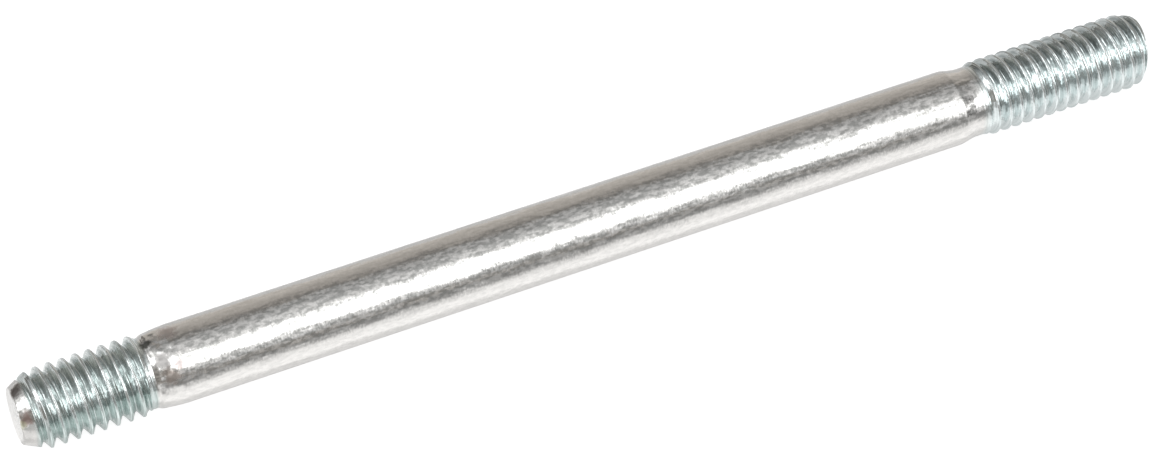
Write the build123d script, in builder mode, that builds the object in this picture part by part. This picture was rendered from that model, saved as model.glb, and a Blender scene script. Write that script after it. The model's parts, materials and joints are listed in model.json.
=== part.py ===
from build123d import *
import os
from math import atan, degrees, radians, tan

# Cylinder head stud: one steel rod with a rolled thread at each end. The short thread screws into
# the crankcase, the plain shank passes through the cylinder and its head, and the long thread takes
# the nut. The stud lies along X: the face of its crankcase end is at the origin and its nut end
# points along +X. Millimetres.

# Shank
overall_length = 93.0
shank_diameter = 6.0

# Rolled thread, metric and right-handed, the same at both ends
nominal_diameter = 6.0
pitch = 1.0
flank_angle = 60.0
crest_shortfall = 0.08  # what the rolled crests lack of the nominal diameter
runout_turns = 1.5  # how long the thread takes to fade into the neck

# Crankcase end
crankcase_thread_length = 10.0  # from the end face to the neck
crankcase_neck_length = 0.4
crankcase_shoulder_length = 1.4
crankcase_face_diameter = 4.1
crankcase_bevel = 0.15  # broken edge of the face, at 45 degrees
crankcase_cone_angle = 24.5  # between the cone behind the bevel and the axis
crankcase_start_angle = 164.0  # of the groove, half a pitch ahead of the face, round the axis from +Z

# Nut end
nut_thread_length = 14.8
nut_neck_length = 0.9
nut_shoulder_length = 1.1
nut_face_diameter = 4.4
nut_bevel = 0.35
nut_cone_angle = 22.0
nut_start_angle = 275.0

# The thread's form, from the proportions of the metric profile
flank_slope = tan(radians(flank_angle / 2))
sharp_height = pitch / 2 / flank_slope
crest_radius = (nominal_diameter - crest_shortfall) / 2
pitch_radius = nominal_diameter / 2 - 3 / 8 * sharp_height
root_radius = nominal_diameter / 2 - 17 / 24 * sharp_height
root_half_width = pitch / 4 - (pitch_radius - root_radius) * flank_slope
neck_radius = pitch_radius  # rolling raises as much metal as it presses down
runout_length = runout_turns * pitch

# The groove's tool stands out past the crests, where its own turns stay just clear of each other
tool_half_width = 0.485 * pitch
tool_radius = pitch_radius + (tool_half_width - pitch / 4) / flank_slope
tool_clearance = 0.1  # how far the tool has risen above the neck at the end of the run-out

# Stations along the stud
shoulder_start = crankcase_thread_length + crankcase_neck_length
shank_start = shoulder_start + crankcase_shoulder_length
nut_neck_end = overall_length - nut_thread_length
shoulder_end = nut_neck_end - nut_neck_length
shank_end = shoulder_end - nut_shoulder_length


def groove(length, tool_rise=0.0):
    """What a stretch of the thread's groove takes away: a tooth swept along a helix from the origin."""
    with BuildPart() as swept:
        with BuildLine() as lead:
            Helix(pitch, length, pitch_radius, direction=(1, 0, 0), cone_angle=tool_rise)
        with BuildSketch(Plane.XZ):
            with BuildLine():
                Polyline(
                    (-root_half_width, root_radius),
                    (-tool_half_width, tool_radius),
                    (tool_half_width, tool_radius),
                    (root_half_width, root_radius),
                    close=True,
                )
            make_face()
        sweep(path=lead.edge(), is_frenet=True)
    return swept.part


def threaded_end(length, face_diameter, bevel, cone_angle, start_angle):
    """A threaded end along +X, from its face at the origin to its neck."""
    # The groove runs full from ahead of the face, and then rises out of the rod in the run-out
    full_start = -pitch / 2
    full_end = length - runout_length
    end_angle = start_angle + 360 * (full_end - full_start) / pitch
    tool_rise = degrees(atan((neck_radius + tool_clearance - root_radius) / runout_length))
    # The end is turned to its cone and to the run-out's. Outside the crests they are drawn on to meet
    cone_start = face_diameter / 2 + bevel
    climb = tan(radians(cone_angle))
    fall = (crest_radius - neck_radius) / runout_length
    meeting = (neck_radius + fall * length - cone_start + climb * bevel) / (climb + fall)
    with BuildPart() as end:
        with BuildSketch(Plane.XZ):
            with Locations((-pitch, 0)):
                Rectangle(length + 2 * pitch, crest_radius, align=Align.MIN)
        revolve(axis=Axis.X)
        with Locations(Location((full_start, 0, 0), (start_angle, 0, 0))):
            add(groove(full_end - full_start), mode=Mode.SUBTRACT)
        with Locations(Location((full_end, 0, 0), (end_angle, 0, 0))):
            add(groove(runout_length, tool_rise), mode=Mode.SUBTRACT)
        with BuildSketch(Plane.XZ):
            with BuildLine():
                Polyline(
                    (0, 0),
                    (0, face_diameter / 2),
                    (bevel, cone_start),
                    (meeting, cone_start + climb * (meeting - bevel)),
                    (length, neck_radius),
                    (length, 0),
                    close=True,
                )
            make_face()
        revolve(axis=Axis.X, mode=Mode.INTERSECT)
    return end.part


crankcase_end = threaded_end(
    crankcase_thread_length,
    crankcase_face_diameter,
    crankcase_bevel,
    crankcase_cone_angle,
    crankcase_start_angle,
)
nut_end = threaded_end(nut_thread_length, nut_face_diameter, nut_bevel, nut_cone_angle, nut_start_angle)

with BuildPart() as stud:
    # The necks, the shoulders and the shank between them
    with BuildSketch(Plane.XZ):
        with BuildLine():
            Polyline(
                (crankcase_thread_length, 0),
                (crankcase_thread_length, neck_radius),
                (shoulder_start, neck_radius),
                (shank_start, shank_diameter / 2),
                (shank_end, shank_diameter / 2),
                (shoulder_end, neck_radius),
                (nut_neck_end, neck_radius),
                (nut_neck_end, 0),
                close=True,
            )
        make_face()
    revolve(axis=Axis.X)
    add(crankcase_end)
    with Locations(Location((overall_length, 0, 0), (0, 0, 180))):
        add(nut_end)

os.makedirs("parts", exist_ok=True)
stud.part.label = "stud"
export_step(stud.part, "parts/stud.step")
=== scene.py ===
"""A zinc-plated cylinder head stud on a pale studio floor.

The plain CAD solid is replaced by one closed, finely modelled piece: two rolled threads with rounded
roots and seamed crests, their fading run-outs, the necks, the shoulders and the drawn shank. The stud
lies along X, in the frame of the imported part, with its crankcase end at 0. Its shape is in metres, and
its plating is placed in millimetres.
"""

import json  # noqa: E402
import logging  # noqa: E402
from dataclasses import dataclass, field  # noqa: E402
from enum import Enum  # noqa: E402
from functools import reduce  # noqa: E402
from math import cos, pi, radians, sin, tan  # noqa: E402

import bmesh  # noqa: E402
import bpy  # noqa: E402
import numpy as np  # noqa: E402
from mathutils import Matrix, Vector  # noqa: E402


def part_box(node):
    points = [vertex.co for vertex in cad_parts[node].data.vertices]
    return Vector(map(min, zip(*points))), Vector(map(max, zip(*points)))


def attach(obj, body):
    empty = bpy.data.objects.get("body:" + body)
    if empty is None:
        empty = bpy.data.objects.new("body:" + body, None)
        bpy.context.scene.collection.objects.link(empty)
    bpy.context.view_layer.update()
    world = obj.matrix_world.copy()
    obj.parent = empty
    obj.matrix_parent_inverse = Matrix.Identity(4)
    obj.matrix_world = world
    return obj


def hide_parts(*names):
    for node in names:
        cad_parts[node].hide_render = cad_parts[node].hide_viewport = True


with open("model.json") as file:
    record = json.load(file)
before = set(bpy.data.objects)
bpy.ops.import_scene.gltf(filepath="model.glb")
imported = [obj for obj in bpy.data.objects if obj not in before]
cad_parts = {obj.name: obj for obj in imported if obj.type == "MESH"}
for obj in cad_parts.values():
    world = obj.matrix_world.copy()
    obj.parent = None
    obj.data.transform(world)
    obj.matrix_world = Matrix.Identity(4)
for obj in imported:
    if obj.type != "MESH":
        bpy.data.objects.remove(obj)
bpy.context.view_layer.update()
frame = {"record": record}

Socket = bpy.types.NodeSocket
Feed = Socket | float | tuple[float, ...]  # what a socket can be given
Colour = tuple[float, float, float, float]
Triple = tuple[float, float, float]
Edge = tuple[float, float]  # of a soft stretch: where nothing of it shows, and where all of it does

LOG = logging.getLogger("stud")
MM = 0.001
NODE = "stud"
COLUMNS = 96  # vertices round every ring of the stud
LINES = 32  # vertices along one pitch of thread
WELD = 1e-6  # vertices nearer than this are merged
CLOSE = 1e-7  # places nearer than this are the same
WHITE: Colour = (1.0, 1.0, 1.0, 1.0)
BLACK: Colour = (0.0, 0.0, 0.0, 1.0)
NOISE_MEAN: Triple = (0.5, 0.5, 0.5)  # of a noise's three numbers
MIX_COLOURS = (6, 7)  # a Mix node's two colour inputs
MIX_RESULT = 2  # a Mix node's colour output


class End(Enum):
    """The two threaded ends, by what each one screws into."""

    CRANKCASE = "crankcase_thread"
    NUT = "nut_thread"


def deselect() -> None:
    """Leave object mode's selection empty."""
    if bpy.context.object and bpy.context.object.mode != "OBJECT":
        bpy.ops.object.mode_set(mode="OBJECT")
    bpy.ops.object.select_all(action="DESELECT")


def activate(piece: bpy.types.Object) -> None:
    """Make one piece the only selected and active object.

    Args:
        piece: the object that the next operators work on.
    """
    deselect()
    piece.select_set(True)
    bpy.context.view_layer.objects.active = piece


def apply_modifiers(piece: bpy.types.Object) -> None:
    """Apply every modifier of a piece, in order.

    Args:
        piece: the object whose modifiers are made real.
    """
    activate(piece)
    for modifier in list(piece.modifiers):
        bpy.ops.object.modifier_apply(modifier=modifier.name)


def wind(piece: bpy.types.Object, advance: float, turns: int) -> None:
    """Wind a chain of edges round X into a surface.

    Args:
        piece: the chain.
        advance: how far it moves along X in one turn.
        turns: how many turns it makes.
    """
    screw = piece.modifiers.new("winding", "SCREW")
    screw.axis = "X"
    screw.angle = 2 * pi
    screw.screw_offset = advance
    screw.steps = COLUMNS
    screw.render_steps = COLUMNS
    screw.iterations = turns
    screw.use_merge_vertices = False
    apply_modifiers(piece)


def weld(piece: bpy.types.Object, distance: float) -> None:
    """Merge the vertices of a piece that lie together.

    Args:
        piece: the object to mend.
        distance: how near they are to be merged.
    """
    activate(piece)
    bpy.ops.object.mode_set(mode="EDIT")
    bpy.ops.mesh.select_all(action="SELECT")
    bpy.ops.mesh.remove_doubles(threshold=distance)
    bpy.ops.object.mode_set(mode="OBJECT")


def coordinates(piece: bpy.types.Object) -> np.ndarray:
    """Read a piece's vertices.

    Args:
        piece: a mesh object.

    Returns:
        An array of vertices by x, y and z.
    """
    points = np.empty(len(piece.data.vertices) * 3)
    piece.data.vertices.foreach_get("co", points)
    return points.reshape(-1, 3)


def place(piece: bpy.types.Object, points: np.ndarray) -> None:
    """Write a piece's vertices.

    Args:
        piece: a mesh object.
        points: an array of vertices by x, y and z.
    """
    piece.data.vertices.foreach_set("co", points.ravel())
    piece.data.update()


def smooth_least(a: np.ndarray, b: np.ndarray, blend: float) -> np.ndarray:
    """The lesser of two heights, with the edge between them rounded.

    Args:
        a: one surface's heights.
        b: the other surface's heights.
        blend: how far apart the two are where the rounding starts.

    Returns:
        The rounded lesser of the two.
    """
    near = np.maximum(blend - np.abs(a - b), 0.0) / blend
    return np.minimum(a, b) - near * near * blend / 4


def ease(values: np.ndarray) -> np.ndarray:
    """A smooth step from 0 to 1 as values go from 0 to 1.

    Args:
        values: the positions.

    Returns:
        The eased positions, held to 0 and 1 outside.
    """
    t = np.clip(values, 0.0, 1.0)
    return t * t * (3 - 2 * t)


def in_radians(edge: Edge) -> Edge:
    """Turn a soft edge's two angles from degrees to radians."""
    return radians(edge[0]), radians(edge[1])


def moved(edge: Edge, by: float) -> Edge:
    """Move a soft edge along."""
    return edge[0] + by, edge[1] + by


@dataclass(frozen=True)
class ThreadForm:
    """The section of the rolled thread, the same at both ends.

    Attributes:
        pitch: from one crest to the next.
        crest_radius: of the thread's outside.
        root_radius: of the bottom of its groove.
        root_round: how blunt that bottom is.
        flank_angle: between the groove's two walls, in degrees.
        crest_blend: how far the crest's edges are rounded.
        seam_depth: of the seam that rolling leaves along the crest.
        seam_half_width: of that seam.
        seam_least: the share of its depth that the seam never loses.
        seam_waves: how often its depth changes in a turn.
        seam_drift: how unevenly the changes follow each other.
        drift_waves: how often that unevenness changes in a turn.
    """

    pitch: float = 1.0 * MM
    crest_radius: float = 2.99 * MM
    root_radius: float = 2.39 * MM
    root_round: float = 0.15 * MM
    flank_angle: float = 60.0
    crest_blend: float = 0.05 * MM
    seam_depth: float = 0.03 * MM
    seam_half_width: float = 0.035 * MM
    seam_least: float = 0.35
    seam_waves: float = 3.3
    seam_drift: float = 0.9
    drift_waves: float = 1.7

    def groove(self, offset: np.ndarray, lift: np.ndarray) -> np.ndarray:
        """How far from the axis the groove's wall is.

        Args:
            offset: the distance along the stud from the groove's middle.
            lift: how far the groove has risen out of the stud.

        Returns:
            The wall's radius.
        """
        slope = 1 / tan(radians(self.flank_angle / 2))
        wall = np.sqrt((slope * offset) ** 2 + self.root_round**2)
        return self.root_radius - self.root_round + wall + lift

    def seam(self, from_crest: np.ndarray, turn: np.ndarray) -> np.ndarray:
        """How deep the seam is.

        Args:
            from_crest: the distance along the stud from the crest's middle.
            turn: turns round the axis.

        Returns:
            The seam's depths.
        """
        drift = self.seam_drift * np.sin(2 * pi * self.drift_waves * turn)
        wander = 0.5 + 0.5 * np.sin(2 * pi * (self.seam_waves * turn + drift))
        share = self.seam_least + (1 - self.seam_least) * wander
        return self.seam_depth * share * np.exp(-((from_crest / self.seam_half_width) ** 2))


@dataclass
class RolledThread:
    """One threaded end, modelled along +X from its face, and then turned into place.

    Attributes:
        end: which end of the stud it is.
        length: from the end's face to its neck.
        face_radius: of the flat face, inside its rounded edge.
        edge_radius: of the rounding between the face and the cone.
        cone_angle: between the cone behind the face and the axis, in degrees.
        crest_at: where along the end a crest passes the top.
        runout_turns: over how many turns the groove rises out before the neck.
        face_skew: how much further in the face is on its short side.
        short_side: where that side is, in degrees from +Z toward -Y of the end's own frame.
        neck_radius: of the turned neck behind the thread.
        early: how much sooner the run-out starts on its early side.
        early_side: where that side is, in degrees from +Z toward -Y of the end's own frame.
        rim_inset: the width of the outermost ring of the flat face.
        face_inset: the width of the ring inside that one.
        gathering: how strongly the rings of vertices are drawn toward the face.
        clear_from: how far run out the groove is where it leaves the stud altogether.
        spare_turns: turned past the end's length, and trimmed off.
        form: the thread's section.
    """

    end: End
    length: float
    face_radius: float
    edge_radius: float
    cone_angle: float
    crest_at: float
    runout_turns: float
    face_skew: float
    short_side: float
    neck_radius: float
    early: float = 0.0
    early_side: float = 0.0
    rim_inset: float = 0.03 * MM
    face_inset: float = 0.3 * MM
    gathering: float = 1.6
    clear_from: float = 0.98
    spare_turns: int = 2
    form: ThreadForm = field(default_factory=ThreadForm)

    def cone(self, along: np.ndarray) -> np.ndarray:
        """The radius of the face's rounded edge and of the cone behind it.

        Args:
            along: distances from the face.

        Returns:
            The radii.
        """
        angle = radians(self.cone_angle)
        edge = self.edge_radius
        edge_end = edge * (1 - sin(angle))
        rounded = np.sqrt(np.maximum(edge**2 - (edge - np.clip(along, 0.0, edge_end)) ** 2, 0.0))
        return self.face_radius + rounded + np.maximum(along - edge_end, 0.0) * tan(angle)

    def faded(self, along: np.ndarray, turn: np.ndarray) -> np.ndarray:
        """How far the thread has run out.

        Args:
            along: distances from the face.
            turn: turns round the axis from +Z.

        Returns:
            The shares, from 0 on the full thread to 1 at the neck.
        """
        fade = self.runout_turns * self.form.pitch
        sooner = self.early * (1 + np.cos(2 * pi * turn - radians(self.early_side))) / 2
        end = self.length - sooner
        return np.clip((along - (end - fade)) / fade, 0.0, 1.0)

    def blank(self, along: np.ndarray, turn: np.ndarray) -> np.ndarray:
        """The radius of the turned end before its thread is rolled.

        Args:
            along: distances from the face.
            turn: turns round the axis from +Z.

        Returns:
            The blank's radii.
        """
        form = self.form
        faded = ease(self.faded(along, turn))
        body = form.crest_radius + (self.neck_radius - form.crest_radius) * faded
        return smooth_least(self.cone(along), body, 2 * form.crest_blend)

    def radius(self, along: np.ndarray, turn: np.ndarray) -> np.ndarray:
        """The radius of the rolled end's surface.

        Args:
            along: distances from the face.
            turn: turns round the axis from +Z, right-handed about the end's own +X.

        Returns:
            The surface's radii.
        """
        form = self.form
        shift = (along - self.crest_at) / form.pitch - turn
        from_crest = (shift - np.round(shift)) * form.pitch
        from_groove = form.pitch / 2 - np.abs(from_crest)
        done = self.faded(along, turn)
        lift = done * (self.neck_radius - form.root_radius + 2 * form.crest_blend)
        clear = np.maximum(done - self.clear_from, 0.0) / (1 - self.clear_from)
        groove = form.groove(from_groove, lift + 4 * form.crest_blend * clear)
        blank = self.blank(along, turn)
        full = ease((blank - form.crest_radius) / form.seam_depth + 1.0)
        return smooth_least(blank, groove, form.crest_blend) - form.seam(from_crest, turn) * full

    def pitch_line(self) -> bpy.types.Object:
        """A straight chain of edges, one pitch long, at the crest's radius.

        Returns:
            The chain's object.
        """
        deselect()
        bpy.ops.mesh.primitive_plane_add(size=self.form.pitch)
        chain = bpy.context.object
        chain.name = self.end.value
        bpy.ops.object.mode_set(mode="EDIT")
        bpy.ops.mesh.select_mode(type="EDGE")
        mesh = bmesh.from_edit_mesh(chain.data)
        for edge in mesh.edges:
            edge.select = not all(vertex.co.y > 0 for vertex in edge.verts)
        bmesh.update_edit_mesh(chain.data)
        bpy.ops.mesh.delete(type="EDGE")
        bpy.ops.mesh.select_all(action="SELECT")
        bpy.ops.mesh.subdivide(number_cuts=LINES - 1)
        bpy.ops.object.mode_set(mode="OBJECT")
        points = coordinates(chain)
        points[:, 0] += self.form.pitch / 2
        points[:, 1] = 0.0
        points[:, 2] = self.form.crest_radius
        place(chain, points)
        return chain

    def roll(self) -> bpy.types.Object:
        """Wind the chain into a sleeve, trim it square and press the thread into it.

        Returns:
            The sleeve, closed by the end's face and open at its neck, along +X from the face.
        """
        sleeve = self.pitch_line()
        pitch = self.form.pitch
        wind(sleeve, pitch, round(self.length / pitch + 0.5) + self.spare_turns)
        points = coordinates(sleeve)
        points[:, 0] -= pitch
        place(sleeve, points)
        weld(sleeve, WELD)
        column = pitch / COLUMNS
        last = round(self.length / column) * column
        self.trim(last)
        points = coordinates(sleeve)
        points[:, 0] = self.gather(points[:, 0] * self.length / last)
        turn = np.arctan2(-points[:, 1], points[:, 2]) / (2 * pi)
        radius = self.radius(points[:, 0], turn)
        spread = np.hypot(points[:, 1], points[:, 2])
        points[:, 1] *= radius / spread
        points[:, 2] *= radius / spread
        place(sleeve, points)
        self.close_face(sleeve)
        return sleeve

    @staticmethod
    def trim(last: float) -> None:
        """Cut the active sleeve square at both ends.

        Args:
            last: where along X it ends.
        """
        bpy.ops.object.mode_set(mode="EDIT")
        for cut, before in ((0.0, True), (last, False)):
            bpy.ops.mesh.select_all(action="SELECT")
            bpy.ops.mesh.bisect(
                plane_co=(cut, 0, 0),
                plane_no=(1, 0, 0),
                clear_inner=before,
                clear_outer=not before,
                threshold=CLOSE,
            )
        bpy.ops.object.mode_set(mode="OBJECT")

    def gather(self, along: np.ndarray) -> np.ndarray:
        """Draw the rings nearest the face closer to it, where its edge turns fastest.

        Args:
            along: distances from the face.

        Returns:
            The new distances.
        """
        reach = self.form.pitch / 2
        near = np.clip(along / reach, 0.0, 1.0)
        return np.where(along < reach, reach * near**self.gathering, along)

    def close_face(self, sleeve: bpy.types.Object) -> None:
        """Close the sleeve with its flat face.

        Args:
            sleeve: the sleeve, whose rim lies at the face.
        """
        activate(sleeve)
        bpy.ops.object.mode_set(mode="EDIT")
        bpy.ops.mesh.select_mode(type="EDGE")
        mesh = bmesh.from_edit_mesh(sleeve.data)
        for edge in mesh.edges:
            edge.select = edge.is_boundary and all(abs(v.co.x) < CLOSE for v in edge.verts)
        bmesh.update_edit_mesh(sleeve.data)
        bpy.ops.mesh.edge_face_add()
        bpy.ops.mesh.select_mode(type="FACE")
        bpy.ops.mesh.inset(thickness=self.rim_inset)
        bpy.ops.mesh.inset(thickness=self.face_inset)
        bpy.ops.object.mode_set(mode="OBJECT")


@dataclass
class LatheOutline:
    """A turned form: straight runs between corners, some of them rounded, spun about X.

    Attributes:
        name: of the piece.
        corners: (along, radius, rounding) of each corner, in order.
        step: the longest run left undivided, within the fine stretches.
        fine: (start, end) stretches along X whose runs are divided.
        rounding_segments: the runs in each rounded corner.
    """

    name: str
    corners: tuple[Triple, ...]
    step: float
    fine: tuple[tuple[float, float], ...]
    rounding_segments: int = 6

    def chain(self) -> bpy.types.Object:
        """Draw the outline above the axis, corner by corner, and round its corners.

        Returns:
            The chain's object.
        """
        deselect()
        bpy.ops.mesh.primitive_plane_add(size=MM)
        outline = bpy.context.object
        outline.name = self.name
        bpy.ops.object.mode_set(mode="EDIT")
        bpy.ops.mesh.select_mode(type="VERT")
        bpy.ops.mesh.select_all(action="SELECT")
        bpy.ops.mesh.merge(type="CENTER")
        bpy.ops.object.mode_set(mode="OBJECT")
        along, radius, _ = self.corners[0]
        place(outline, np.array([[along, 0.0, radius]]))
        bpy.ops.object.mode_set(mode="EDIT")
        bpy.ops.mesh.select_all(action="SELECT")
        for before, after in zip(self.corners, self.corners[1:]):
            move = (after[0] - before[0], 0, after[1] - before[1])
            bpy.ops.mesh.extrude_vertices_move(TRANSFORM_OT_translate={"value": move})
        for along, radius, rounding in self.corners:
            if rounding:
                self.select_point(outline, along, radius)
                bpy.ops.mesh.bevel(
                    offset=rounding,
                    segments=self.rounding_segments,
                    affect="VERTICES",
                    clamp_overlap=True,
                )
        self.divide(outline)
        bpy.ops.object.mode_set(mode="OBJECT")
        return outline

    @staticmethod
    def select_point(outline: bpy.types.Object, along: float, radius: float) -> None:
        """Select the outline's point at one place.

        Args:
            outline: the chain, in edit mode.
            along: the point's place along X.
            radius: its distance from the axis.
        """
        bpy.ops.mesh.select_all(action="DESELECT")
        mesh = bmesh.from_edit_mesh(outline.data)
        for vertex in mesh.verts:
            vertex.select = (vertex.co - Vector((along, 0, radius))).length < CLOSE
        bmesh.update_edit_mesh(outline.data)

    def divide(self, outline: bpy.types.Object) -> None:
        """Divide the runs in the fine stretches until none is longer than the step.

        Args:
            outline: the chain, in edit mode.
        """
        bpy.ops.mesh.select_mode(type="EDGE")
        mesh = bmesh.from_edit_mesh(outline.data)
        runs = [tuple(vertex.co.x for vertex in edge.verts) for edge in mesh.edges]
        for low, high in sorted((min(run), max(run)) for run in runs):
            if not any(a - CLOSE <= low and high <= b + CLOSE for a, b in self.fine):
                continue
            mesh = bmesh.from_edit_mesh(outline.data)
            length = 0.0
            for edge in mesh.edges:
                ends = sorted(vertex.co.x for vertex in edge.verts)
                edge.select = abs(ends[0] - low) < CLOSE and abs(ends[1] - high) < CLOSE
                if edge.select:
                    length = edge.calc_length()
            bmesh.update_edit_mesh(outline.data)
            if length > self.step:
                bpy.ops.mesh.subdivide(number_cuts=int(length / self.step))

    def turn(self) -> bpy.types.Object:
        """Spin the outline about X.

        Returns:
            The turned piece.
        """
        piece = self.chain()
        wind(piece, 0.0, 1)
        weld(piece, CLOSE)
        return piece


@dataclass
class Stud:
    """The whole stud: two threaded ends and the turned shank between them.

    Attributes:
        low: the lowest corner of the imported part's box.
        high: its highest corner.
        crankcase_thread: the short thread's length, from its face to its neck.
        nut_thread: the long thread's length.
        crankcase_neck: the length of the neck behind the short thread.
        crankcase_neck_round: the rounding of its far edge.
        crankcase_collar: from the short thread to the first, lower cone's end.
        crankcase_collar_radius: of that cone's end.
        crankcase_collar_round: the rounding there.
        crankcase_shoulder: from the short thread to the full shank.
        crankcase_shoulder_round: the rounding where the shank starts.
        nut_neck: the length of the neck behind the long thread.
        nut_neck_round: the rounding of its far edge.
        nut_shoulder: from the long thread to the full shank.
        nut_shoulder_round: the rounding where the shank ends.
        shank_step: the longest run between rings of the shoulders.
        clearance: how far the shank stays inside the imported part's box.
    """

    low: Vector
    high: Vector
    crankcase_thread: float
    nut_thread: float
    crankcase_neck: float = 0.12 * MM
    crankcase_neck_round: float = 0.06 * MM
    crankcase_collar: float = 0.35 * MM
    crankcase_collar_radius: float = 2.81 * MM
    crankcase_collar_round: float = 0.12 * MM
    crankcase_shoulder: float = 1.8 * MM
    crankcase_shoulder_round: float = 0.7 * MM
    nut_neck: float = 0.9 * MM
    nut_neck_round: float = 0.25 * MM
    nut_shoulder: float = 2.1 * MM
    nut_shoulder_round: float = 0.08 * MM
    shank_step: float = 0.08 * MM
    clearance: float = 0.001 * MM

    @property
    def length(self) -> float:
        """The stud's length."""
        return self.high.x - self.low.x

    @property
    def shank_radius(self) -> float:
        """The plain shank's radius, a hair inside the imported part's box."""
        return (self.high.y - self.low.y) / 2 - self.clearance

    def ends(self) -> tuple[RolledThread, RolledThread]:
        """Give each threaded end its sizes.

        Returns:
            The crankcase end and the nut end, each in its own frame.
        """
        crankcase = RolledThread(
            end=End.CRANKCASE,
            length=self.crankcase_thread,
            face_radius=2.0 * MM,
            edge_radius=0.2 * MM,
            cone_angle=25.0,
            crest_at=0.585 * MM,
            runout_turns=0.6,
            face_skew=0.12 * MM,
            short_side=-48.0,
            neck_radius=2.67 * MM,
            early=0.3 * MM,
            early_side=130.0,
        )
        nut = RolledThread(
            end=End.NUT,
            length=self.nut_thread,
            face_radius=2.25 * MM,
            edge_radius=0.38 * MM,
            cone_angle=17.0,
            crest_at=0.237 * MM,
            runout_turns=0.7,
            face_skew=0.75 * MM,
            short_side=-145.0,
            neck_radius=2.75 * MM,
        )
        return crankcase, nut

    def shank(self, crankcase: RolledThread, nut: RolledThread) -> bpy.types.Object:
        """Turn the necks, the shoulders and the shank between the threads.

        Args:
            crankcase: the crankcase end.
            nut: the nut end.

        Returns:
            The turned piece, open at both ends.
        """
        full = self.shank_radius
        start = self.low.x + self.crankcase_thread
        neck = start + self.crankcase_neck
        collar = start + self.crankcase_collar
        top = start + self.crankcase_shoulder
        end = self.high.x - self.nut_thread
        nut_neck = end - self.nut_neck
        bottom = end - self.nut_shoulder
        corners = (
            (start, crankcase.neck_radius, 0.0),
            (neck, crankcase.neck_radius, self.crankcase_neck_round),
            (collar, self.crankcase_collar_radius, self.crankcase_collar_round),
            (top, full, self.crankcase_shoulder_round),
            (bottom, full, self.nut_shoulder_round),
            (nut_neck, nut.neck_radius, self.nut_neck_round),
            (end, nut.neck_radius, 0.0),
        )
        return LatheOutline("shank", corners, self.shank_step, ((start, top), (bottom, end))).turn()

    def skew_face(self, end: RolledThread, piece: bpy.types.Object) -> None:
        """Lean an end's face, as a shear leaves it, over its first pitch.

        Args:
            end: the threaded end, whose skew is used.
            piece: the end's sleeve, in the end's own frame.
        """
        points = coordinates(piece)
        angle = radians(end.short_side)
        side = (-sin(angle) * points[:, 1] + cos(angle) * points[:, 2]) / end.face_radius
        share = np.clip(1 - points[:, 0] / end.form.pitch, 0.0, 1.0)
        points[:, 0] += end.face_skew * (1 + np.clip(side, -1.0, 1.0)) / 2 * share
        place(piece, points)

    def turn_round(self, piece: bpy.types.Object) -> None:
        """Turn a piece from an end's own frame to the nut end of the stud."""
        piece.data.transform(Matrix.Translation((self.high.x, 0, 0)) @ Matrix.Rotation(pi, 4, "Z"))

    def build(self) -> bpy.types.Object:
        """Make the whole stud as one closed piece.

        Returns:
            The stud's object, at the origin.
        """
        crankcase, nut = self.ends()
        pieces = [self.shank(crankcase, nut)]
        for end in (crankcase, nut):
            sleeve = end.roll()
            self.skew_face(end, sleeve)
            if end.end is End.NUT:
                self.turn_round(sleeve)
            pieces.append(sleeve)
        deselect()
        for piece in pieces:
            LOG.info("%s: %d faces", piece.name, len(piece.data.polygons))
            piece.select_set(True)
        bpy.context.view_layer.objects.active = pieces[0]
        bpy.ops.object.join()
        stud = bpy.context.object
        stud.name = "zinc_plated_stud"
        weld(stud, WELD)
        bpy.ops.object.mode_set(mode="EDIT")
        bpy.ops.mesh.select_all(action="SELECT")
        bpy.ops.mesh.normals_make_consistent(inside=False)
        bpy.ops.object.mode_set(mode="OBJECT")
        bpy.ops.object.shade_smooth()
        return stud


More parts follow.
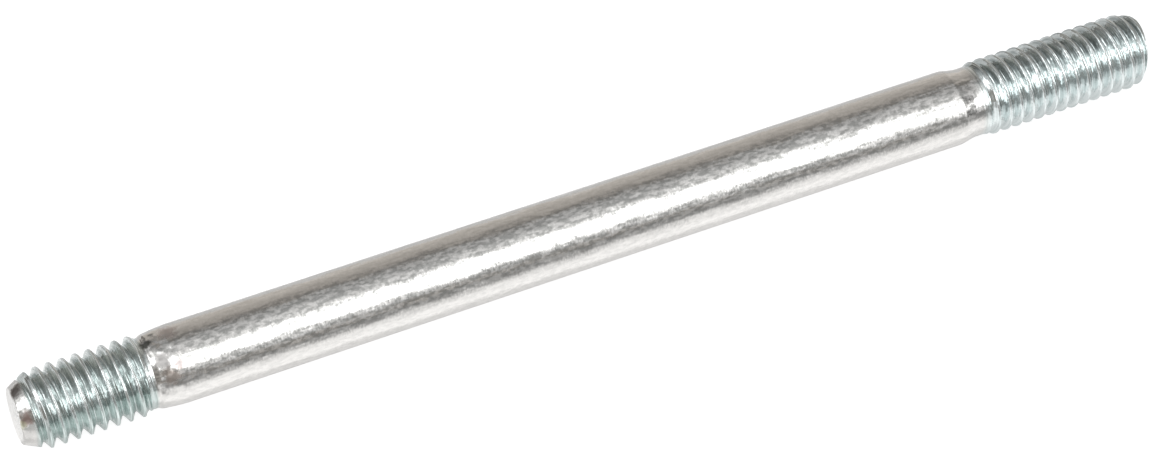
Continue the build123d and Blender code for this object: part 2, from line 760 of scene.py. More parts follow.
class Nodes:
    """A shorthand for wiring one node tree."""

    def __init__(self, tree: bpy.types.NodeTree) -> None:
        """Empty the tree and keep it."""
        self.tree = tree
        tree.nodes.clear()

    def add(self, kind: str, **settings: object) -> bpy.types.Node:
        """Add a node and set its properties.

        Args:
            kind: the node's type, without its ShaderNode prefix.
            **settings: the node's properties.

        Returns:
            The new node.
        """
        node = self.tree.nodes.new("ShaderNode" + kind)
        for name, value in settings.items():
            setattr(node, name, value)
        return node

    def wire(self, source: Feed, target: Socket) -> None:
        """Feed a socket from another socket or with a constant.

        Args:
            source: an output socket, or a number or tuple.
            target: the input socket.
        """
        if isinstance(source, Socket):
            self.tree.links.new(source, target)
        else:
            target.default_value = source

    def math(self, operation: str, *values: Feed) -> Socket:
        """Work out a number.

        Args:
            operation: the Math node's operation.
            *values: its inputs, as sockets or numbers.

        Returns:
            The result's socket.
        """
        node = self.add("Math", operation=operation)
        for value, socket in zip(values, node.inputs):
            self.wire(value, socket)
        return node.outputs[0]

    def product(self, *values: Feed) -> Socket:
        """Multiply numbers."""
        return reduce(lambda so_far, value: self.math("MULTIPLY", so_far, value), values)

    def most(self, *values: Feed) -> Socket:
        """Take the greatest of some numbers."""
        return reduce(lambda so_far, value: self.math("MAXIMUM", so_far, value), values)

    def partly(self, value: Feed, share: float) -> Socket:
        """Go from all but a share to everything as a value goes from 0 to 1."""
        return self.math("MULTIPLY_ADD", value, share, 1 - share)

    def vector(self, operation: str, *vectors: Feed) -> Socket:
        """Work out a vector from vectors.

        Args:
            operation: the VectorMath node's operation.
            *vectors: its inputs, as sockets or tuples.

        Returns:
            The result's socket.
        """
        node = self.add("VectorMath", operation=operation)
        for value, socket in zip(vectors, node.inputs):
            self.wire(value, socket)
        return node.outputs["Vector"]

    def scaled(self, vector: Feed, factor: Feed) -> Socket:
        """Scale a vector by a number.

        Args:
            vector: the vector.
            factor: the number.

        Returns:
            The scaled vector's socket.
        """
        node = self.add("VectorMath", operation="SCALE")
        self.wire(vector, node.inputs[0])
        self.wire(factor, node.inputs["Scale"])
        return node.outputs["Vector"]

    def heaped(self, *vectors: Feed) -> Socket:
        """Add vectors up."""
        return reduce(lambda so_far, vector: self.vector("ADD", so_far, vector), vectors)

    def split(self, vector: Feed) -> tuple[Socket, Socket, Socket]:
        """Take a vector apart.

        Args:
            vector: the vector.

        Returns:
            The sockets of its X, Y and Z.
        """
        node = self.add("SeparateXYZ")
        self.wire(vector, node.inputs[0])
        return tuple(node.outputs)

    def remap(self, value: Feed, edge: Edge, smooth: bool = True) -> Socket:
        """Show how far a value has come across a soft edge, from 0 to 1.

        Args:
            value: the number to read.
            edge: what becomes 0 and what becomes 1.
            smooth: whether the way between is eased.

        Returns:
            The result's socket.
        """
        kind = "SMOOTHSTEP" if smooth else "LINEAR"
        node = self.add("MapRange", interpolation_type=kind)
        for source, socket in zip((value, *edge, 0.0, 1.0), node.inputs):
            self.wire(source, socket)
        return node.outputs[0]

    def within(self, value: Feed, *edges: Edge) -> Socket:
        """Show whether a value is inside every one of some soft edges."""
        return self.product(*(self.remap(value, edge) for edge in edges))

    def ramp(self, value: Feed, stops: list[tuple[float, float]]) -> Socket:
        """Pass a value through straight runs between greys.

        Args:
            value: the number to read, from 0 to 1.
            stops: (position, grey) pairs, in order.

        Returns:
            The grey's socket.
        """
        node = self.add("ValToRGB")
        node.color_ramp.interpolation = "LINEAR"
        elements = node.color_ramp.elements
        while len(elements) < len(stops):
            elements.new(0.5)
        for element, (position, grey) in zip(elements, stops):
            element.position = position
            element.color = (grey, grey, grey, 1.0)
        self.wire(value, node.inputs[0])
        return node.outputs[0]

    def mix(self, share: Feed, first: Feed, second: Feed) -> Socket:
        """Mix two colours.

        Args:
            share: how much of the second shows.
            first: the first colour.
            second: the second colour.

        Returns:
            The mixed colour's socket.
        """
        node = self.add("Mix", data_type="RGBA")
        self.wire(share, node.inputs[0])
        for colour, socket in zip((first, second), MIX_COLOURS):
            self.wire(colour, node.inputs[socket])
        return node.outputs[MIX_RESULT]

    def noise(self, vector: Feed, scale: float, detail: float) -> bpy.types.Node:
        """Add a fractal noise.

        Args:
            vector: the coordinates to read.
            scale: cells in a unit of the coordinates.
            detail: octaves.

        Returns:
            The noise's node, with one number as its Fac and three as its Color.
        """
        node = self.add("TexNoise")
        self.wire(vector, node.inputs["Vector"])
        self.wire(scale, node.inputs["Scale"])
        self.wire(detail, node.inputs["Detail"])
        return node


@dataclass(frozen=True)
class ColourPatch:
    """A soft-edged patch of colour over the plating; the list below says what each one is.

    Attributes:
        along: where its middle is along the stud, in millimetres.
        side: where it is round the stud, in degrees up from -Y.
        radius: how far its middle is from the axis, in millimetres.
        size: how far it reaches, in millimetres.
        share: how much of it shows.
        colour: of the patch.
        core: the share of its size that is tarnished fully.
        raggedness: how far its edge wanders, as a share of its size.
    """

    along: float
    side: float
    radius: float
    size: float
    share: float
    colour: Colour
    core: float = 0.35
    raggedness: float = 1.2

    @property
    def middle(self) -> Triple:
        """The patch's middle, in millimetres."""
        angle = radians(self.side)
        return (self.along, -self.radius * cos(angle), self.radius * sin(angle))

    def shows(self, nodes: Nodes, where: Socket, ragged: Socket) -> Socket:
        """Work out how much of the patch shows.

        Args:
            nodes: the tree's shorthand.
            where: coordinates in millimetres.
            ragged: a noise about 0 for its edge.

        Returns:
            The share's socket.
        """
        away = nodes.add("VectorMath", operation="DISTANCE")
        nodes.wire(where, away.inputs[0])
        nodes.wire(self.middle, away.inputs[1])
        reach = nodes.math("MULTIPLY_ADD", ragged, self.raggedness * self.size, away.outputs["Value"])
        return nodes.product(nodes.remap(reach, (self.size, self.core * self.size)), self.share)


COLOUR_PATCHES = (
    # A dark patch over the top of the short end's cone.
    ColourPatch(0.35, 96.0, 2.4, 0.8, 0.9, (0.16, 0.14, 0.13, 1.0)),
    # Tarnish: reddish-brown and yellowish patches on that cone.
    ColourPatch(0.45, 38.0, 2.4, 0.65, 0.7, (0.42, 0.27, 0.24, 1.0)),
    ColourPatch(0.05, 28.0, 2.2, 0.5, 0.6, (0.66, 0.66, 0.46, 1.0)),
    # A near-black patch on the top of the neck behind the short thread.
    ColourPatch(10.24, 94.0, 2.7, 0.6, 0.95, (0.10, 0.10, 0.09, 1.0)),
    # Painted shade: a grey patch that dims the highlight on the shoulder behind the short thread.
    ColourPatch(10.95, 57.0, 2.85, 0.8, 0.85, (0.47, 0.46, 0.45, 1.0)),
    # Tarnish: brownish patches on that shoulder.
    ColourPatch(11.3, 32.0, 2.9, 0.9, 0.6, (0.48, 0.39, 0.34, 1.0)),
    ColourPatch(12.0, 48.0, 2.95, 0.55, 0.6, (0.50, 0.42, 0.41, 1.0)),
    ColourPatch(12.0, 102.0, 2.95, 1.0, 0.55, (0.46, 0.38, 0.36, 1.0)),
)


@dataclass(frozen=True)
class Grain:
    """A fine unevenness of the plating, as a random lean of its surface.

    Attributes:
        size: of one grain, in millimetres.
        lean: how far it tilts the surface.
        squeeze: how much each axis is scaled first, so that a small number draws the grain out.
    """

    size: float
    lean: float
    squeeze: Triple = (1.0, 1.0, 1.0)

    def tilt(self, nodes: Nodes, where: Socket, lean: Feed) -> Socket:
        """Work out the random tilt.

        Args:
            nodes: the tree's shorthand.
            where: the coordinates to read.
            lean: how far it tilts at each place.

        Returns:
            The tilt's vector socket.
        """
        squeezed = nodes.vector("MULTIPLY", where, self.squeeze)
        colours = nodes.noise(squeezed, scale=1 / self.size, detail=1.0).outputs["Color"]
        return nodes.scaled(nodes.vector("SUBTRACT", colours, NOISE_MEAN), lean)


@dataclass(frozen=True)
class Places:
    """What the plating reads at each point of the stud.

    Attributes:
        where: the point, in millimetres.
        along: its X.
        spread: how far it is from the axis.
        side: where it is round the stud, as an angle up from -Y.
        lines: coordinates that follow the thread.
        streak: a noise drawn out along the thread.
        nut: how much it is on the nut's thread.
        threaded: how much it is on either thread.
    """

    where: Socket
    along: Socket
    spread: Socket
    side: Socket
    lines: Socket
    streak: Socket
    nut: Socket
    threaded: Socket


@dataclass(frozen=True)
class ZincPlate:
    """The plating: bright zinc, warm on the drawn shank and cooler on the rolled threads.

    Places along the stud are in millimetres, and sides are in degrees round it, up from -Y.

    Attributes:
        crankcase_end: where the short thread ends.
        nut_start: where the long thread starts.
        pitch: of both threads.
        shank_colour: of the drawn shank.
        mottle_dark: of the shank's darkest flecks.
        mottle_light: of its lightest flecks.
        crest_colour: of the short thread's crests.
        root_shade_colour: of its roots, darker than its crests as painted shade.
        low_side_shade_crest_colour: of its crests on the low side, darker and greener as painted shade.
        low_side_shade_root_colour: of its roots on the low side, darker and greener as painted shade.
        nut_crest_colour: of the long thread's crests.
        nut_root_shade_colour: of its roots, darker than its crests as painted shade.
        nut_top_root_shade_colour: of its roots along the top, darker as painted shade.
        point_edge: where the short thread starts, behind its cone.
        crankcase_edge: how its end fades, from crankcase_end.
        nut_edge: how the long thread starts, from nut_start.
        raised_edge: the radii from the thread's root to its crest.
        marked_edge: the part of the streaks' noise that marks the thread.
        raised_share: how much of a thread's shine is lost in its roots, as painted shade.
        marked_share: how much of it is lost between the streaks.
        low_shade_edge: the sides where the short thread's painted shade on the low side comes in.
        top_shade_edge: the sides where the long thread's painted shade along the top comes in.
        fleck_edges: the sides between which the shank is flecked most, round its highlight band.
        fleck_share: how much more it is flecked there.
        fleck_least: how much it is flecked elsewhere.
        mottle_scale: how fine the flecks are.
        mottle_squeeze: how much they are drawn out, along the stud most.
        mottle_edge: the part of their noise that shows.
        roughness: of the plain plating.
        patch_scale: how fine its duller patches are.
        patch_squeeze: how much they are drawn out.
        patchiness: how much rougher they are than the brightest places.
        thread_roughness: what a thread adds to the roughness.
        stain_and_shade_roughness: what the coloured patches add to it.
        ragged_scale: how fine the edges of the coloured patches are.
        grain: the plating's own fine grain.
        grain_share: how much of its lean is kept on each axis.
        thread_lean: how much more it leans on the threads.
        lumps: on the neck and the shoulder behind the short thread.
        lump_edges: where they start and end, from crankcase_end.
        drag: left by the rolling, along the thread.
        wave: of the whole stud, long and slight.
        wisps: left by the drawing, along the stud.
        scratch_share: how strongly the streaks mark the threads' relief.
        scratch_depth: of those marks, in metres.
        streak_ring: how fast the streaks change across the thread.
        streak_drift: how fast they change round the stud.
        streak_run: how fast they change along it.
    """

    crankcase_end: float
    nut_start: float
    pitch: float
    shank_colour: Colour = (0.84, 0.825, 0.805, 1.0)
    mottle_dark: Colour = (0.52, 0.525, 0.51, 1.0)
    mottle_light: Colour = (0.99, 0.98, 0.96, 1.0)
    crest_colour: Colour = (0.93, 0.975, 0.975, 1.0)
    root_shade_colour: Colour = (0.50, 0.56, 0.55, 1.0)
    low_side_shade_crest_colour: Colour = (0.80, 0.875, 0.86, 1.0)
    low_side_shade_root_colour: Colour = (0.40, 0.475, 0.46, 1.0)
    nut_crest_colour: Colour = (0.86, 0.915, 0.915, 1.0)
    nut_root_shade_colour: Colour = (0.685, 0.75, 0.75, 1.0)
    nut_top_root_shade_colour: Colour = (0.405, 0.45, 0.45, 1.0)
    point_edge: Edge = (0.75, 1.15)
    crankcase_edge: Edge = (0.15, -0.15)
    nut_edge: Edge = (-0.7, 0.2)
    raised_edge: Edge = (2.6, 2.97)
    marked_edge: Edge = (0.36, 0.6)
    raised_share: float = 0.4
    marked_share: float = 0.8
    low_shade_edge: Edge = (32.0, 14.0)
    top_shade_edge: Edge = (55.0, 72.0)
    fleck_edges: tuple[Edge, Edge] = ((12.0, 22.0), (96.0, 80.0))
    fleck_share: float = 0.65
    fleck_least: float = 0.15
    mottle_scale: float = 5.0
    mottle_squeeze: Triple = (0.35, 0.75, 0.75)
    mottle_edge: Edge = (0.35, 0.65)
    roughness: float = 0.19
    patch_scale: float = 0.8
    patch_squeeze: Triple = (0.6, 1.0, 1.0)
    patchiness: float = 0.12
    thread_roughness: float = -0.01
    stain_and_shade_roughness: float = 0.2
    ragged_scale: float = 2.2
    grain: Grain = Grain(0.13, 0.22, (1.0, 0.5, 0.5))
    grain_share: Triple = (0.25, 1.0, 1.0)
    thread_lean: float = 0.05
    lumps: Grain = Grain(0.6, 0.4)
    lump_edges: tuple[Edge, Edge] = ((-0.1, 0.4), (2.6, 1.6))
    drag: Grain = Grain(1.0, 0.4)
    wave: Grain = Grain(2.5, 0.05)
    wisps: Grain = Grain(0.35, 0.22, (0.12, 1.0, 1.0))
    scratch_share: float = 0.8
    scratch_depth: float = 0.05 * MM
    streak_ring: float = 1.5
    streak_drift: float = 0.5
    streak_run: float = 0.9

    def helix(self, nodes: Nodes, along: Socket, across: Socket, up: Socket) -> Socket:
        """Coordinates that follow the thread: streaks in them run round with the helix.

        Args:
            nodes: the tree's shorthand.
            along: X in millimetres.
            across: Y in millimetres.
            up: Z in millimetres.

        Returns:
            The coordinates' vector socket.
        """
        turn = nodes.math("ARCTAN2", nodes.product(across, -1.0), up)
        phase = nodes.math("SUBTRACT", nodes.product(along, 2 * pi / self.pitch), turn)
        lines = nodes.add("CombineXYZ")
        for trig, slow, socket in (("COSINE", across, 0), ("SINE", up, 1)):
            value = nodes.product(nodes.math(trig, phase), self.streak_ring)
            nodes.wire(nodes.math("MULTIPLY_ADD", slow, self.streak_drift, value), lines.inputs[socket])
        nodes.wire(nodes.product(along, self.streak_run), lines.inputs[2])
        return lines.outputs[0]

    def places(self, nodes: Nodes) -> Places:
        """Work out what the rest of the plating reads.

        Args:
            nodes: the tree's shorthand.

        Returns:
            The sockets, by name.
        """
        where = nodes.scaled(nodes.add("TexCoord").outputs["Object"], 1 / MM)
        along, across, up = nodes.split(where)
        crankcase_edge = moved(self.crankcase_edge, self.crankcase_end)
        crankcase = nodes.within(along, crankcase_edge, self.point_edge)
        nut = nodes.remap(along, moved(self.nut_edge, self.nut_start))
        squares = (nodes.math("POWER", value, 2.0) for value in (across, up))
        lines = self.helix(nodes, along, across, up)
        return Places(
            where=where,
            along=along,
            spread=nodes.math("SQRT", nodes.math("ADD", *squares)),
            side=nodes.math("ARCTAN2", up, nodes.product(across, -1.0)),
            lines=lines,
            streak=nodes.noise(lines, scale=1.0, detail=2.0).outputs["Fac"],
            nut=nut,
            threaded=nodes.most(crankcase, nut),
        )

    def thread_colour(self, nodes: Nodes, at: Places) -> Socket:
        """Colour the threads: darker in their roots and on some sides, all as painted shade, and
        streaked.

        Args:
            nodes: the tree's shorthand.
            at: what the plating reads.

        Returns:
            The colour's socket.
        """
        # Painted shade: the roots are coloured darker than the crests.
        raised = nodes.remap(at.spread, self.raised_edge)
        marked = nodes.remap(at.streak, self.marked_edge)
        shine = nodes.product(
            nodes.partly(raised, self.raised_share), nodes.partly(marked, self.marked_share)
        )
        # Painted shade: the short thread is coloured darker and greener on its low side.
        low = nodes.remap(at.side, in_radians(self.low_shade_edge))
        # Painted shade: the long thread's roots are coloured darker along the top.
        high = nodes.remap(at.side, in_radians(self.top_shade_edge))
        root = nodes.mix(low, self.root_shade_colour, self.low_side_shade_root_colour)
        crest = nodes.mix(low, self.crest_colour, self.low_side_shade_crest_colour)
        nut_root = nodes.mix(high, self.nut_root_shade_colour, self.nut_top_root_shade_colour)
        crankcase = nodes.mix(shine, root, crest)
        nut = nodes.mix(shine, nut_root, self.nut_crest_colour)
        return nodes.mix(at.nut, crankcase, nut)

    def flecked_shank(self, nodes: Nodes, at: Places) -> Socket:
        """Colour the drawn shank with mottled flecks, partly painted glints and shade round its
        highlight band.

        Args:
            nodes: the tree's shorthand.
            at: what the plating reads.

        Returns:
            The colour's socket.
        """
        squeezed = nodes.vector("MULTIPLY", at.where, self.mottle_squeeze)
        noise = nodes.noise(squeezed, self.mottle_scale, detail=1.0).outputs["Fac"]
        mottle = nodes.remap(noise, self.mottle_edge)
        flecks = nodes.mix(mottle, self.mottle_dark, self.mottle_light)
        # Partly painted light: the plating's mottle is made strongest round the highlight band, standing
        # for glints and shade.
        fleck_band = nodes.within(at.side, *map(in_radians, self.fleck_edges))
        flecked = nodes.math("MULTIPLY_ADD", fleck_band, self.fleck_share, self.fleck_least)
        return nodes.mix(flecked, self.shank_colour, flecks)

    def stained_and_shaded(self, nodes: Nodes, at: Places, colour: Socket) -> tuple[Socket, Socket]:
        """Lay the coloured patches over the plating, painted shade among them.

        Args:
            nodes: the tree's shorthand.
            at: what the plating reads.
            colour: of the clean plating.

        Returns:
            The sockets of the patched colour and of how much of the patches lies there.
        """
        noise = nodes.noise(at.where, self.ragged_scale, detail=2.0).outputs["Fac"]
        ragged = nodes.math("SUBTRACT", noise, NOISE_MEAN[0])
        shares = []
        for colour_patch in COLOUR_PATCHES:
            shares.append(colour_patch.shows(nodes, at.where, ragged))
            colour = nodes.mix(shares[-1], colour, colour_patch.colour)
        return colour, nodes.most(*shares)

    def rough(self, nodes: Nodes, at: Places, stain_and_shade: Socket) -> Socket:
        """Make the plating patchy, and dull under the coloured patches.

        Args:
            nodes: the tree's shorthand.
            at: what the plating reads.
            stain_and_shade: how much of the coloured patches lies there.

        Returns:
            The roughness's socket.
        """
        squeezed = nodes.vector("MULTIPLY", at.where, self.patch_squeeze)
        patches = nodes.noise(squeezed, self.patch_scale, detail=2.0).outputs["Fac"]
        least = self.roughness - self.patchiness / 2
        rough = nodes.math("MULTIPLY_ADD", patches, self.patchiness, least)
        rough = nodes.math("MULTIPLY_ADD", at.threaded, self.thread_roughness, rough)
        return nodes.math("MULTIPLY_ADD", stain_and_shade, self.stain_and_shade_roughness, rough)

    def uneven(self, nodes: Nodes, at: Places) -> Socket:
        """Lean the surface with its grain, wisps, lumps and rolling marks.

        Args:
            nodes: the tree's shorthand.
            at: what the plating reads.

        Returns:
            The normal's socket.
        """
        coarse = nodes.math("MULTIPLY_ADD", at.threaded, self.thread_lean, self.grain.lean)
        grain = nodes.vector("MULTIPLY", self.grain.tilt(nodes, at.where, coarse), self.grain_share)
        lump_edges = (moved(edge, self.crankcase_end) for edge in self.lump_edges)
        lumpy = nodes.product(nodes.within(at.along, *lump_edges), self.lumps.lean)
        dragged = nodes.product(at.threaded, self.drag.lean)
        tilt = nodes.heaped(
            self.wave.tilt(nodes, at.where, self.wave.lean),
            self.wisps.tilt(nodes, at.where, self.wisps.lean),
            self.lumps.tilt(nodes, at.where, lumpy),
            self.drag.tilt(nodes, at.lines, dragged),
            grain,
        )
        scratches = nodes.add("Bump")
        nodes.wire(nodes.product(at.threaded, self.scratch_share), scratches.inputs["Strength"])
        nodes.wire(self.scratch_depth, scratches.inputs["Distance"])
        nodes.wire(at.streak, scratches.inputs["Height"])
        return nodes.vector("NORMALIZE", nodes.heaped(scratches.outputs[0], tilt))

    def material(self) -> bpy.types.Material:
        """Wire the plating.

        Returns:
            The finished material.
        """
        material = bpy.data.materials.new("bright_zinc")
        material.use_nodes = True
        nodes = Nodes(material.node_tree)
        output = nodes.add("OutputMaterial")
        shader = nodes.add("BsdfPrincipled")
        nodes.wire(shader.outputs[0], output.inputs[0])
        at = self.places(nodes)
        clean = nodes.mix(at.threaded, self.flecked_shank(nodes, at), self.thread_colour(nodes, at))
        colour, stain_and_shade = self.stained_and_shaded(nodes, at, clean)
        nodes.wire(colour, shader.inputs["Base Color"])
        nodes.wire(1.0, shader.inputs["Metallic"])
        nodes.wire(self.rough(nodes, at, stain_and_shade), shader.inputs["Roughness"])
        nodes.wire(self.uneven(nodes, at), shader.inputs["Normal"])
        return material


@dataclass(frozen=True)
class Zone:
    """A soft-edged part of the light tent.

    Attributes:
        amount: what it does in full.
        sides: its edges in the direction's X.
        angles: its edges in the angle round the X axis, in degrees.
    """

    amount: float
    sides: tuple[Edge, ...] = ()
    angles: tuple[Edge, ...] = ()

    def effect(self, nodes: Nodes, sideways: Socket, angle: Socket) -> Socket:
        """Work out what the zone does in each direction.

        Args:
            nodes: the tree's shorthand.
            sideways: the direction's X.
            angle: the direction's angle round X, in radians.

        Returns:
            The effect's socket: the amount inside the zone, and 0 outside it.
        """
        shares = [nodes.remap(sideways, edge) for edge in self.sides]
        shares += [nodes.remap(angle, in_radians(edge)) for edge in self.angles]
        return nodes.product(*shares, self.amount)


# The tent's brightness by the angle round X, in degrees up from -Y.
TENT = (
    (-20.0, 0.30),
    (-2.0, 0.30),
    (3.0, 0.25),
    (8.0, 0.49),
    (13.0, 0.29),
    (18.0, 0.60),
    (24.0, 0.75),
    (29.0, 1.0),
    (32.0, 1.45),
    (36.0, 2.8),
    (56.0, 2.8),
    (60.0, 1.5),
    (65.0, 1.16),
    (69.0, 0.91),
    (74.0, 0.75),
    (80.0, 0.57),
    (85.0, 0.70),
    (90.0, 0.38),
    (95.0, 0.57),
    (100.0, 0.29),
    (105.0, 0.52),
    (110.0, 0.26),
    (114.0, 0.42),
    (118.0, 0.17),
    (125.0, 0.235),
    (133.0, 0.31),
    (145.0, 0.385),
    (170.0, 0.50),
    (200.0, 0.80),
)


@dataclass
class Studio:
    """The pale floor, the light tent and the camera.

    Attributes:
        floor_height: where the floor lies, along Z.
        middle: the stud's middle, along X.
        floor_size: the floor's side.
        floor_colour: the colour of its paper.
        floor_lift: how much the white that shows on it adds to the paper: plain white to the camera, a
            painted pool of light to metal.
        painted_pool_edge: the distances from the axis between which the painted pool of light that metal
            sees fades.
        left_painted_pool: where metal sees the painted pool of light again, past the crankcase end.
        left_share: how much of the white it sees there.
        back_painted_pool: where metal sees the painted pool of light again, behind the stud.
        back_share: how much of the white it sees there.
        shade_front: where the stud's painted shadow on the floor that metal sees ends, before the stud.
        shade_back: where that painted shadow ends behind it.
        shade_depth: how dark that painted shadow is.
        tip_edge: where the painted light on that floor darkens past the crankcase end.
        tip_dimming: how much it darkens there.
        turns: zones that turn the tent round X, by their amount in radians, one after another.
        dark_zones: zones that dim the tent, by their amount.
        warm_zones: zones that take the warm tint.
        warm_tint: what they multiply the light by.
        camera_place: where the camera stands.
        heading: where it looks, in degrees from +Y toward +X.
        down: how far it looks down, in degrees.
        lens: its focal length, in millimetres.
        sensor: its sensor's width, in millimetres.
        clip: the nearest and the farthest that it sees.
    """

    floor_height: float
    middle: float
    floor_size: float = 3.0
    floor_colour: Colour = (0.38, 0.38, 0.38, 1.0)
    floor_lift: float = 0.87
    painted_pool_edge: Edge = (22.0 * MM, 1.0 * MM)
    left_painted_pool: Edge = (-2.0 * MM, -12.0 * MM)
    left_share: float = 0.72
    back_painted_pool: Edge = (0.0, 4.0 * MM)
    back_share: float = 0.3
    shade_front: Edge = (3.2 * MM, 4.6 * MM)
    shade_back: Edge = (0.0, 0.5 * MM)
    shade_depth: float = 0.42
    tip_edge: Edge = (-0.4 * MM, 0.0)
    tip_dimming: float = 0.24
    turns: tuple[Zone, ...] = (
        Zone(radians(-40.0), ((0.04, -0.10),)),
        Zone(radians(10.0), ((0.40, 0.45),)),
        Zone(radians(-3.2), ((0.24, 0.34), (0.44, 0.40)), ((44.0, 58.0), (130.0, 105.0))),
    )
    dark_zones: tuple[Zone, ...] = (
        Zone(0.9, ((0.62, 0.72), (0.92, 0.82)), ((85.0, 70.0),)),
        Zone(0.45, ((0.0, -0.08), (-0.34, -0.2)), ((15.0, 25.0),)),
        Zone(0.05, ((-0.1, -0.3),)),
    )
    warm_zones: tuple[Zone, ...] = (
        Zone(1.0, (), ((105.0, 130.0),)),
        Zone(1.0, (), ((14.0, 2.0),)),
    )
    warm_tint: Colour = (1.06, 1.0, 0.93, 1.0)
    camera_place: Triple = (-33.5 * MM, -169.6 * MM, 192.1 * MM)
    heading: float = 24.71
    down: float = 45.93
    lens: float = 110.7
    sensor: float = 36.0
    clip: tuple[float, float] = (0.005, 10.0)

    def floor(self) -> bpy.types.Object:
        """Lay the pale floor under the stud.

        Returns:
            The floor's object.
        """
        deselect()
        middle = (self.middle, 0, self.floor_height)
        bpy.ops.mesh.primitive_plane_add(size=self.floor_size, location=middle)
        floor = bpy.context.object
        floor.name = "floor"
        bpy.ops.object.transform_apply(location=True, rotation=True, scale=True)
        material = bpy.data.materials.new("pale_floor")
        material.use_nodes = True
        nodes = Nodes(material.node_tree)
        output = nodes.add("OutputMaterial")
        paper = nodes.add("BsdfDiffuse")
        nodes.wire(self.floor_colour, paper.inputs["Color"])
        lift = nodes.add("Emission")
        nodes.wire(nodes.product(self.seen(nodes), self.floor_lift), lift.inputs["Strength"])
        both = nodes.add("AddShader")
        nodes.wire(paper.outputs[0], both.inputs[0])
        nodes.wire(lift.outputs[0], both.inputs[1])
        nodes.wire(both.outputs[0], output.inputs[0])
        floor.data.materials.append(material)
        return floor

    def seen(self, nodes: Nodes) -> Socket:
        """Work out how white the floor shows: wholly to the camera, and as a painted pool of light to
        metal.

        Args:
            nodes: the tree's shorthand.

        Returns:
            The share's socket.
        """
        rays = nodes.add("LightPath").outputs
        along, across, _ = nodes.split(nodes.add("TexCoord").outputs["Object"])
        away = nodes.math("ABSOLUTE", across)
        # Painted light: a pool of white that only metal sees, round the stud, past the crankcase end and
        # behind it.
        near = nodes.most(
            nodes.remap(away, self.painted_pool_edge),
            nodes.product(nodes.remap(along, self.left_painted_pool), self.left_share),
            nodes.product(nodes.remap(across, self.back_painted_pool), self.back_share),
        )
        # Painted shadow of the stud on that pool, and painted shade past the crankcase end.
        outside_painted_shadow = nodes.most(nodes.remap(away, self.shade_front), nodes.remap(across, self.shade_back))
        behind_tip = nodes.remap(along, self.tip_edge)
        mirrored = nodes.most(rays["Is Glossy Ray"], rays["Is Transmission Ray"])
        shown = nodes.product(
            mirrored,
            near,
            nodes.partly(outside_painted_shadow, self.shade_depth),
            nodes.partly(behind_tip, self.tip_dimming),
        )
        return nodes.most(rays["Is Camera Ray"], shown)

    def tent_colour(self, nodes: Nodes, brightest: float) -> Socket:
        """Colour the tent's inside by the angle round X, with its turns and its dim and warm parts.

        Args:
            nodes: the tree's shorthand.
            brightest: the tent's greatest brightness, which becomes 1.

        Returns:
            The colour's socket.
        """
        sideways, away, up = nodes.split(nodes.add("TexCoord").outputs["Generated"])
        angle = nodes.math("ARCTAN2", up, nodes.product(away, -1.0))
        for zone in self.turns:
            angle = nodes.math("ADD", angle, zone.effect(nodes, sideways, angle))
        first, last = TENT[0][0], TENT[-1][0]
        share = nodes.remap(angle, in_radians((first, last)), smooth=False)
        stops = [((degree - first) / (last - first), light / brightest) for degree, light in TENT]
        dimmed = nodes.most(*(zone.effect(nodes, sideways, angle) for zone in self.dark_zones))
        warm = nodes.most(*(zone.effect(nodes, sideways, angle) for zone in self.warm_zones))
        light = nodes.mix(dimmed, nodes.ramp(share, stops), BLACK)
        return nodes.vector("MULTIPLY", light, nodes.mix(warm, WHITE, self.warm_tint))

    def tent(self) -> bpy.types.World:
        """Hang the light tent, which lights the stud and is plain white to the camera.

        Returns:
            The tent's world.
        """
        world = bpy.data.worlds.new("light_tent")
        world.use_nodes = True
        nodes = Nodes(world.node_tree)
        output = nodes.add("OutputWorld")
        brightest = max(light for _, light in TENT)
        inside = nodes.add("Background")
        nodes.wire(self.tent_colour(nodes, brightest), inside.inputs["Color"])
        nodes.wire(brightest, inside.inputs["Strength"])
        backdrop = nodes.add("Background")
        nodes.wire(WHITE, backdrop.inputs["Color"])
        nodes.wire(1.0, backdrop.inputs["Strength"])
        either = nodes.add("MixShader")
        nodes.wire(nodes.add("LightPath").outputs["Is Camera Ray"], either.inputs[0])
        nodes.wire(inside.outputs[0], either.inputs[1])
        nodes.wire(backdrop.outputs[0], either.inputs[2])
        nodes.wire(either.outputs[0], output.inputs[0])
        bpy.context.scene.world = world
        return world

    def camera(self) -> bpy.types.Object:
        """Set up the camera.

        Returns:
            The camera's object.
        """
        data = bpy.data.cameras.new("camera")
        camera = bpy.data.objects.new("camera", data)
        bpy.context.scene.collection.objects.link(camera)
        heading, down = radians(self.heading), radians(self.down)
        forward = Vector((sin(heading) * cos(down), cos(heading) * cos(down), -sin(down)))
        camera.rotation_euler = forward.to_track_quat("-Z", "Y").to_euler()
        camera.location = self.camera_place
        data.sensor_fit = "HORIZONTAL"
        data.sensor_width = self.sensor
        data.lens = self.lens
        data.clip_start, data.clip_end = self.clip
        bpy.context.scene.camera = camera
        return camera


def report(piece: bpy.types.Object) -> None:
    """Log a finished piece's size and soundness.

    Args:
        piece: the piece to report.
    """
    mesh = bmesh.new()
    mesh.from_mesh(piece.data)
    triangles = sum(len(face.verts) - 2 for face in mesh.faces)
    open_edges = sum(not edge.is_manifold for edge in mesh.edges)
    volume = mesh.calc_volume(signed=True) / MM**3
    LOG.info("%s: %d faces, %d triangles", piece.name, len(mesh.faces), triangles)
    LOG.info("%s: %d open edges, %.2f mm3", piece.name, open_edges, volume)
    mesh.free()


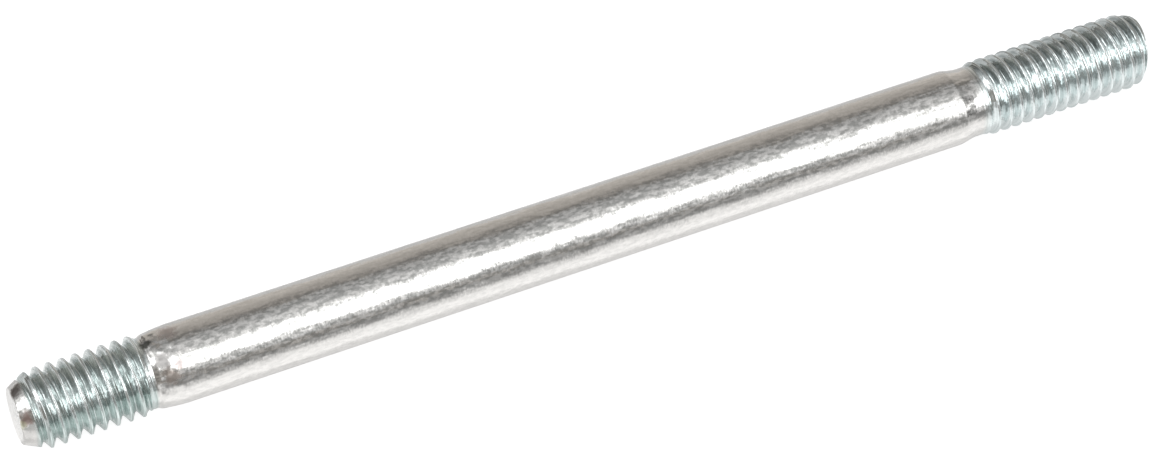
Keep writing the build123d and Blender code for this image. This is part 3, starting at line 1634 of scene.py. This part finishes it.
def main() -> None:
    """Build the stud and the studio round it, and report each piece."""
    logging.basicConfig(level=logging.INFO, format="%(name)s: %(message)s")
    low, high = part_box(NODE)
    lengths = {m["name"]: m["dims"]["length_mm"] * MM for m in frame["record"]["mounts"]}
    model = Stud(low, high, lengths[End.CRANKCASE.value], lengths[End.NUT.value])
    stud = model.build()
    nut_start = (model.length - model.nut_thread) / MM
    plate = ZincPlate(model.crankcase_thread / MM, nut_start, ThreadForm().pitch / MM)
    stud.data.materials.clear()
    stud.data.materials.append(plate.material())
    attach(stud, "root")
    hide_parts(NODE)
    report(stud)
    studio = Studio(low.z, (low.x + high.x) / 2)
    for piece in (studio.floor(), studio.tent(), studio.camera()):
        LOG.info("%s is in place", piece.name)
    bpy.context.scene.view_settings.view_transform = "Standard"


if __name__ == "__main__":
    main()
